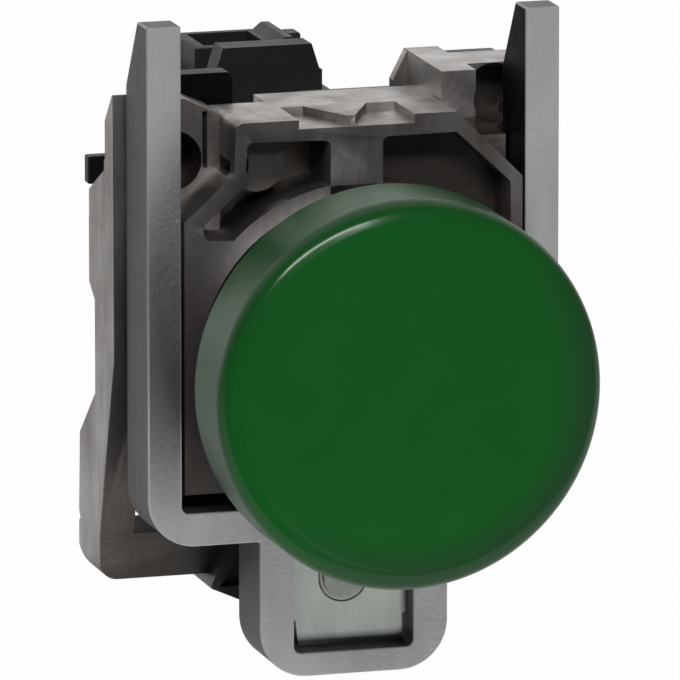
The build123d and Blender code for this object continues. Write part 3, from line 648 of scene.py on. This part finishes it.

# %% [markdown]
# The two castings are zinc. The collar is bare metal, brownish and streaky, with broad, dull
# highlights. The fork has an even grey coat with a fine orange-peel grain, which is hardly
# metallic. One function makes both, because only the numbers differ. A separate, lighter finish
# goes on the worn edges. Where a mask of painted shade lies, the colour goes darker, and a darker
# copy of the fork's grey on its sides is painted shade too.


# %% Cast metals
def cast_metal(name, dark, light, rough, metallic, grain, height, place=None, painted_shade=None, calm=1.0):
    """Streaks choose the colour between two greys and shift the roughness, and the grain gives a
    bump of that height in metres. Where the named casting's mask of painted shade is 1, the colour
    moves to the given shade colour, and outside it the grain is calmer."""
    mat, tree, shader = new_material(name, Metallic=metallic)
    streaks = use_group(tree, streak_group, Scale=300.0, Stretch=(1.0, 1.0, 0.18))["Mask"]
    relief = use_group(tree, grain_group, Scale=grain, Pores=0.25)["Height"]
    colour = ramp(tree, streaks, [(0.36, dark), (0.62, light)])
    if place:
        mask = use_group(tree, painted_shade_group)[place]
        relief = product(tree, relief, math_node(tree, "MULTIPLY_ADD", mask, 1.0 - calm, calm))
        colour = toward_colour(tree, product(tree, mask, 0.92), colour, painted_shade)
    tree.links.new(colour, shader.inputs["Base Color"])
    roughness = spread(tree, streaks, rough + 0.08, rough - 0.06)
    tree.links.new(roughness, shader.inputs["Roughness"])
    bump(tree, shader, relief, 1.0, height)
    return mat


GRAIN = 0.00012
# Painted shade: the colour each casting takes under its mask of painted shade.
collar_painted_shade = {"place": "Collar", "painted_shade": (0.125, 0.109, 0.098)}
fork_painted_shade = {"place": "Fork", "painted_shade": (0.075, 0.079, 0.075), "calm": 0.2}
collar_metal = cast_metal(
    "cast zinc collar",
    dark=(0.16, 0.138, 0.128),
    light=(0.47, 0.45, 0.435),
    rough=0.4,
    metallic=0.92,
    grain=2200.0,
    height=0.3 * GRAIN,
    **collar_painted_shade,
)
collar_edge = cast_metal(
    "collar worn edge",
    dark=(0.24, 0.22, 0.21),
    light=(0.5, 0.48, 0.46),
    rough=0.36,
    metallic=0.9,
    grain=2200.0,
    height=0.25 * GRAIN,
    **collar_painted_shade,
)
fork_metal = cast_metal(
    "grey cast fork",
    dark=(0.21, 0.214, 0.21),
    light=(0.265, 0.27, 0.265),
    rough=0.4,
    metallic=0.2,
    grain=2900.0,
    height=3.6 * GRAIN,
    **fork_painted_shade,
)
# A darker copy of the fork's grey, painted shade on faces that don't look to the front.
fork_side_shade = cast_metal(
    "fork side, painted shade",
    dark=(0.062, 0.063, 0.062),
    light=(0.08, 0.081, 0.08),
    rough=0.5,
    metallic=0.1,
    grain=2900.0,
    height=0.4 * GRAIN,
)
fork_edge = cast_metal(
    "fork worn edge",
    dark=(0.22, 0.225, 0.22),
    light=(0.28, 0.285, 0.28),
    rough=0.4,
    metallic=0.25,
    grain=2900.0,
    height=0.4 * GRAIN,
)
print("cast finishes:", len(bpy.data.materials))

# %% [markdown]
# The small steel pieces are stamped or turned: brighter, smoother, with fine lines along one
# direction. The lines run along the axes that have the small numbers in the stretch. The brass of
# the terminal plates is made the same way in a warm colour.


# %% Steel and brass
def vary(tree, shader, mask, colour, darker, smoother, rougher):
    """The mask moves the colour between a darker tone and itself, and the roughness between two
    values."""
    low = tuple(c * darker for c in colour)
    shade = ramp(tree, mask, [(0.35, low), (0.65, colour)])
    tree.links.new(shade, shader.inputs["Base Color"])
    tree.links.new(spread(tree, mask, rougher, smoother), shader.inputs["Roughness"])


def worked_metal(name, colour, rough, stretch, metallic=0.9):
    """Fine lines from stretched noise vary the colour and the roughness a little."""
    mat, tree, shader = new_material(name, Metallic=metallic)
    streaks = use_group(tree, streak_group, Scale=1400.0, Stretch=stretch)["Mask"]
    vary(tree, shader, streaks, colour, 0.82, rough - 0.05, rough + 0.06)
    bump(tree, shader, streaks, 0.12, 0.0001)
    return mat


plate_steel = worked_metal("stamped plate", (0.28, 0.30, 0.28), 0.36, (1.0, 1.0, 0.25), 0.1)
screw_steel = worked_metal("turned steel", (0.34, 0.36, 0.33), 0.3, (1.0, 0.1, 1.0), 0.6)
ring_steel = worked_metal("lock ring steel", (0.45, 0.44, 0.42), 0.38, (0.3, 1.0, 0.3))
brass = worked_metal("brass", (0.72, 0.53, 0.26), 0.3, (1.0, 1.0, 0.3))
bezel_metal = worked_metal("bezel metal", (0.3, 0.3, 0.31), 0.35, (0.3, 1.0, 0.3))
print("finishes so far:", len(bpy.data.materials))

# %% [markdown]
# Moulded plastic has an even colour that drifts a little, and a spark-eroded texture that breaks
# the highlight. The lever is smoother and slightly blue, and the block is a dark grey. The inner
# sides of the fork and the top of the collar's bar lie in shadow, and take a near-black dull
# material of the same kind as painted shade, since bare metal would mirror the white world there.


# %% Plastics and rubber
def moulded(name, colour, rough, strength, coat=0.0, shine=0.35):
    """Broad noise drifts the colour by a few percent, and fine grain gives the bump."""
    constants = {"Coat_Weight": coat, "Coat_Roughness": 0.2, "Specular_IOR_Level": shine}
    mat, tree, shader = new_material(name, **constants)
    grain = use_group(tree, grain_group, Scale=5200.0, Pores=0.0)
    vary(tree, shader, grain["Mask"], colour, 0.85, rough - 0.05, rough + 0.05)
    bump(tree, shader, grain["Height"], strength, 0.00004)
    return mat


lever_plastic = moulded("lever plastic", (0.005, 0.0058, 0.0078), 0.38, 0.3, shine=0.08)
block_plastic = moulded("block plastic", (0.026, 0.026, 0.0265), 0.42, 0.35, shine=0.1)
carrier_plastic = moulded("carrier plastic", (0.012, 0.012, 0.013), 0.42, 0.35, shine=0.2)
# Painted shade, near black, for faces of the castings that lie in shadow.
painted_shade_inside = moulded("painted shade inside a casting", (0.0085, 0.0085, 0.008), 0.5, 0.3, shine=0.06)
rubber = moulded("gasket rubber", (0.01, 0.012, 0.03), 0.55, 0.3)
component_black = moulded("component black", (0.01, 0.01, 0.01), 0.35, 0.2)
board_green = moulded("circuit board", (0.03, 0.13, 0.05), 0.35, 0.1, 0.4)
resistor_body = moulded("resistor lacquer", (0.4, 0.3, 0.16), 0.3, 0.1, 0.5)
capacitor_sleeve = moulded("capacitor sleeve", (0.02, 0.03, 0.12), 0.3, 0.1, 0.5)
white_diffuser = moulded("frosted diffuser", (0.8, 0.82, 0.79), 0.6, 0.3)
clear_plastic = moulded("light tube", (0.75, 0.78, 0.78), 0.15, 0.1, 0.5)
print("finishes so far:", len(bpy.data.materials))

# %% [markdown]
# The lens is dyed translucent plastic, dark green, with a silky face. It is unlit, so it reads as
# an even dense green, and an opaque shader gives that without the noise of real translucency. Its
# bevelled rim takes a darker green at the lower right, painted shade where it faces away from the
# light. Behind the rim the skirt is rougher than the silky face.

# %% Lens material
lens_green, tree, shader = new_material("lens green", IOR=1.5, Specular_IOR_Level=0.3)
drift = use_group(tree, grain_group, Scale=3800.0, Pores=0.0)
tints = [(0.3, (0.0040, 0.050, 0.0080)), (0.7, (0.0044, 0.054, 0.0087))]
# Painted shade: a darker green for the lower right of the rim.
rim_shade_green = (0.009, 0.032, 0.012)
place = tree.nodes.new("ShaderNodeSeparateXYZ")
tree.links.new(object_place(tree), place.inputs["Vector"])
across, depth, up = (place.outputs[axis] for axis in "XYZ")
squares = math_node(tree, "ADD", product(tree, across, across), product(tree, up, up))
at_rim = fade(tree, math_node(tree, "SQRT", squares), 0.0098, 0.0129)
low_right = fade(tree, math_node(tree, "SUBTRACT", across, up), -0.004, 0.014)
on_front = fade(tree, depth, -0.0071, -0.0077)
shade = product(tree, product(tree, at_rim, low_right, 0.95), on_front)
colour = toward_colour(tree, shade, ramp(tree, drift["Mask"], tints), rim_shade_green)
tree.links.new(colour, shader.inputs["Base Color"])
rougher_skirt = math_node(tree, "MULTIPLY_ADD", on_front, -0.17, 0.16)
roughness = math_node(tree, "ADD", spread(tree, drift["Mask"], 0.2, 0.17), rougher_skirt)
tree.links.new(roughness, shader.inputs["Roughness"])
bump(tree, shader, drift["Height"], 0.05, 0.00003)
print("finishes:", len(bpy.data.materials))

# %% [markdown]
# A piece can hold several materials in numbered slots, and each face says which slot it takes. The
# bevel faces of the castings are in the second. The sides of the fork, which lie in its own shade,
# and its other faces that don't look to the front are in the fourth, a darker copy of its grey as
# painted shade. The inner faces take near black as painted shade, in the third.


# %% Give every piece its material
def dress(obj, *mats):
    """Puts the given materials into the object's slots."""
    obj.data.materials.clear()
    for mat in mats:
        obj.data.materials.append(mat)


def paint(obj, index, pick):
    """Gives the faces for which pick(centre, normal) is true the material in that slot."""
    for face in obj.data.polygons:
        if pick(face.center / MM, face.normal):
            face.material_index = index


finish_of = {
    "clamp_fork": (fork_metal, fork_edge, painted_shade_inside, fork_side_shade),
    "collar_body": (collar_metal, collar_edge, painted_shade_inside),
    "thrust_plate": (plate_steel,),
    "lock_lever": (lever_plastic,),
    "lock_ring": (ring_steel,),
    "block_carrier": (carrier_plastic,),
    "block_housing": (block_plastic,),
    "block_cover": (block_plastic,),
    "bezel_body": (bezel_metal,),
    "panel_gasket": (rubber,),
    "lens_seal": (rubber,),
    "diffuser": (white_diffuser,),
    "light_tube": (clear_plastic,),
    "terminal_plate_upper": (brass,),
    "terminal_plate_lower": (brass,),
    "saddle_upper": (screw_steel,),
    "saddle_lower": (screw_steel,),
    "circuit_board": (board_green,),
    "rectifier": (component_black,),
}
for name, mats in finish_of.items():
    dress(pieces[name], *mats)
dress(lens, lens_green)
dress(capacitor, capacitor_sleeve)
dress(nodes["led"], clear_plastic)
for plate in plates:
    dress(plate, collar_metal)
for obj in resistors:
    dress(obj, resistor_body)
for screw, ridges in screws.values():
    dress(screw, screw_steel)
    dress(ridges, screw_steel)
print("dressed:", len(finish_of) + 3 + len(plates) + len(resistors) + 2 * len(screws))

# %% [markdown]
# The inner side of a prong is the one that looks at the middle plane, at 12.52 mm from it. The
# bottom bar of the collar has its top at 14.25 mm below the axis.

# %% Faces with painted shade
prong_inside, bar_top = 12.52, -14.25
# Painted shade: faces of the fork that don't look to the front take the darker grey.
paint(clamp_fork, 3, lambda c, n: n.y > -0.5)
# Painted shade, near black, on the inner sides of the prongs.
paint(
    clamp_fork,
    2,
    lambda c, n: abs(abs(c.x) - prong_inside) < 0.1 and n.x * c.x < 0 and abs(n.x) > 0.9,
)
# Painted shade, near black, on the top of the collar's bottom bar.
paint(collar, 2, lambda c, n: n.z > 0.9 and abs(c.z - bar_top) < 0.05)
inside = [face for obj in (clamp_fork, collar) for face in obj.data.polygons]
print("dark faces:", sum(face.material_index == 2 for face in inside))

# %% [markdown]
# The piece hangs over a large pale sheet, because a pilot light is held in the air by its panel.
# The sheet starts just in front of it. The space in front stays dim, so the lens face shows its
# own green and no pale veil. To the camera the sheet and the world are plain white, which is done
# with the Is Camera Ray output and not with more light.


# %% Floor
def pale_floor(height=-0.06):
    """point(x, y) = (x, y, height) in metres, on a grid from left to right and from front to
    back, below the head's axis."""
    x, y = np.meshgrid(np.linspace(-0.7, 0.7, 9), np.linspace(-0.05, 1.3, 9), indexing="ij")
    return grid_mesh("floor", np.stack([x, y, np.full_like(x, height)], -1))


floor = pale_floor()
floor_mat, tree, shader = new_material("pale floor", Roughness=0.9)
shader.inputs["Base Color"].default_value = (0.8, 0.8, 0.8, 1.0)
seen = tree.nodes.new("ShaderNodeLightPath").outputs["Is Camera Ray"]
glow = tree.nodes.new("ShaderNodeEmission")
glow.inputs["Color"].default_value = (1, 1, 1, 1)
mix = tree.nodes.new("ShaderNodeMixShader")
tree.links.new(product(tree, seen, 0.97), mix.inputs["Fac"])
tree.links.new(shader.outputs["BSDF"], mix.inputs[1])
tree.links.new(glow.outputs["Emission"], mix.inputs[2])
tree.links.new(mix.outputs["Shader"], tree.nodes["Material Output"].inputs["Surface"])
dress(floor, floor_mat)
print("floor faces:", len(floor.data.polygons))

# %% [markdown]
# Bare metal shows what stands around it. On the real piece the tops and the left flanks are light
# and the fronts are dark, so the world is white behind and above and dim in front. The direction of
# a ray is compared with one that points up and back, and a ramp turns this into brightness.

# %% World
world = bpy.data.worlds.new("studio")
bpy.context.scene.world = world
world.use_nodes = True
tree = world.node_tree
toward = tree.nodes.new("ShaderNodeVectorMath")
toward.operation = "DOT_PRODUCT"
tree.links.new(tree.nodes.new("ShaderNodeTexCoord").outputs["Generated"], toward.inputs[0])
toward.inputs[1].default_value = (-0.10, 0.80, 0.59)
share = math_node(tree, "MULTIPLY_ADD", toward.outputs["Value"], 0.5, 0.5)
dim, mid, bright = (0.05,) * 3, (0.15,) * 3, (1.0,) * 3
sky = ramp(tree, share, [(0.30, dim), (0.84, bright), (0.62, mid)])
seen = tree.nodes.new("ShaderNodeLightPath").outputs["Is Camera Ray"]
tree.links.new(toward_colour(tree, seen, sky, (1, 1, 1)), tree.nodes["Background"].inputs["Color"])
print("world:", world.name)

# %% [markdown]
# Two lamps do the rest. The key lamp is a long narrow strip at the upper left in front, and it
# draws the thin bright arc on the rim of the lens. The second lamp stands low in front, to the
# right. It lights the foot of the fork and its right prong, while the lens shades the middle of the
# left one. Its mirror image would lie as a pale veil on the glossy lens, so it is kept out of
# glossy rays.


# %% Lamps
def lamp(name, place, aim, size, power, mirrored=True):
    """An area lamp of that width and height at a place in metres, turned to its aim. A lamp that is
    not mirrored lights the object softly and shows in no glossy surface."""
    data = bpy.data.lights.new(name, "AREA")
    data.shape = "RECTANGLE"
    data.size, data.size_y = size
    data.energy = power
    obj = bpy.data.objects.new(name, data)
    bpy.context.scene.collection.objects.link(obj)
    obj.location = place
    away = np.array(place) - np.array(aim)
    yaw = math.atan2(away[0], -away[1])
    pitch = math.atan2(np.hypot(away[0], away[1]), away[2])
    obj.rotation_euler = (pitch, 0.0, yaw)
    obj.visible_glossy = mirrored


middle = (0, 0.01, 0)
lamp("key", (-0.15, -0.62, 0.42), middle, (0.46, 0.09), 3.0)
lamp("low front", (0.12, -0.66, -0.32), middle, (0.22, 0.22), 6.7, mirrored=False)
print("lamps:", len(bpy.data.lights))

# %% [markdown]
# The camera looks from the front left and a little above, through a long lens. Its turn, height and
# distance were fitted to the photograph. Its focal length is given in pixels of a picture 680 wide,
# and Blender wants it in millimetres of the sensor.

# %% Camera
aim = np.array((-1.03, 6.5, 1.17)) * MM
yaw, pitch, distance = math.radians(16.45), math.radians(12.15), 0.815
sensor, focal_pixels, picture_width = 36.0, 11645, 680
level = math.cos(pitch)
back = np.array((-math.sin(yaw) * level, -math.cos(yaw) * level, math.sin(pitch)))
camera_data = bpy.data.cameras.new("camera")
camera_data.sensor_width = sensor
camera_data.lens = sensor * focal_pixels / picture_width
camera_data.clip_start = 0.05
camera_data.clip_end = 20
camera = bpy.data.objects.new("camera", camera_data)
bpy.context.scene.collection.objects.link(camera)
camera.location = aim + distance * back
camera.rotation_euler = (math.pi / 2 - pitch, 0.0, -yaw)
bpy.context.scene.camera = camera
bpy.context.scene.view_settings.view_transform = "Standard"
print("focal length:", round(camera_data.lens, 1), "mm")
